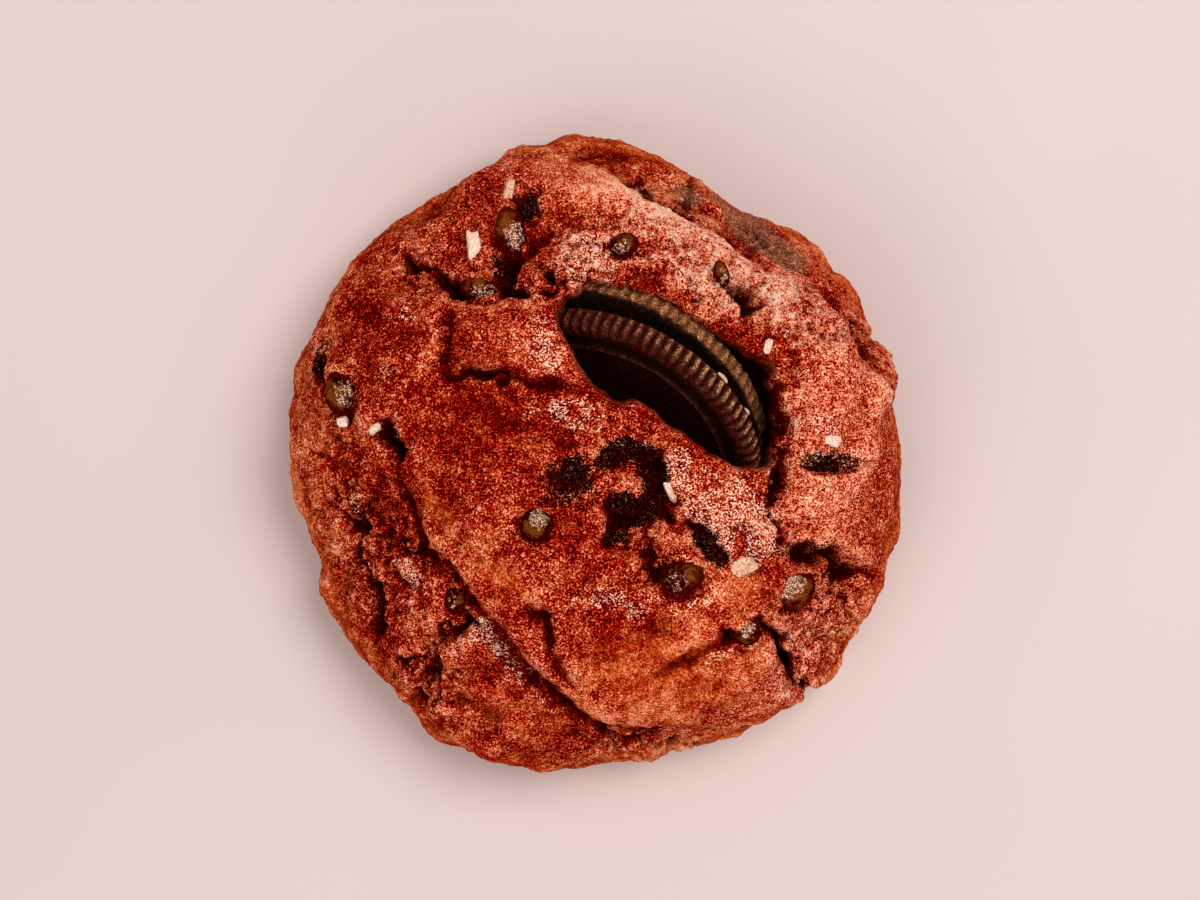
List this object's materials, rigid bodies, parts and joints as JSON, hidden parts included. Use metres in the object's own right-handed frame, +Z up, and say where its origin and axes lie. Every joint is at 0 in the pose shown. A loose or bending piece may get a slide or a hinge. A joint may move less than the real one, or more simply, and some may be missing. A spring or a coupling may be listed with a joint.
{
  "type": "soft-baked chocolate chip cookie with a piece of chocolate sandwich cookie in its top",
  "caption": "Thick round red-brown soft-baked cookie with a flat base, folds and cracks, chips, and a ridged chocolate sandwich cookie piece wedged on edge in its top.",
  "frame": {"origin": "middle of the flat base, under the middle of the cookie's bounding box", "axes": "+Z up through the thickness, the shortest extent; +Y towards the top edge of the cookie as it is seen from above"},
  "size_m": [0.09, 0.0932, 0.0338],
  "materials": {
    "baked_dough": "matt red-brown baked crumb with a slight sugary sheen",
    "cocoa_wafer": "very dark brown baked wafer, satin",
    "cream": "off-white vanilla cream, matt",
    "dark_chocolate": "dark chocolate, softly glossy",
    "white_chocolate": "white chocolate, satin",
    "wafer_crumb": "black-brown crushed wafer, rough and matt"
  },
  "bodies": {
    "root": {"dough": "baked_dough", "wafer_front": "cocoa_wafer", "wafer_back": "cocoa_wafer", "cream": "cream", "chip_01": "dark_chocolate", "chip_02": "dark_chocolate", "chip_03": "dark_chocolate", "chip_04": "dark_chocolate", "chip_05": "dark_chocolate", "chip_06": "dark_chocolate", "chip_07": "dark_chocolate", "chip_08": "dark_chocolate", "chip_09": "dark_chocolate", "chip_10": "dark_chocolate", "chip_11": "dark_chocolate", "white_chip_01": "white_chocolate", "white_chip_02": "white_chocolate", "white_chip_03": "white_chocolate", "white_chip_04": "white_chocolate", "white_chip_05": "white_chocolate", "white_chip_06": "white_chocolate", "white_chip_07": "white_chocolate", "white_chip_08": "white_chocolate", "wafer_crumb_01": "wafer_crumb", "wafer_crumb_02": "wafer_crumb", "wafer_crumb_03": "wafer_crumb", "wafer_crumb_04": "wafer_crumb", "wafer_crumb_05": "wafer_crumb", "wafer_crumb_06": "wafer_crumb", "wafer_crumb_07": "wafer_crumb"}
  },
  "joints": []
}
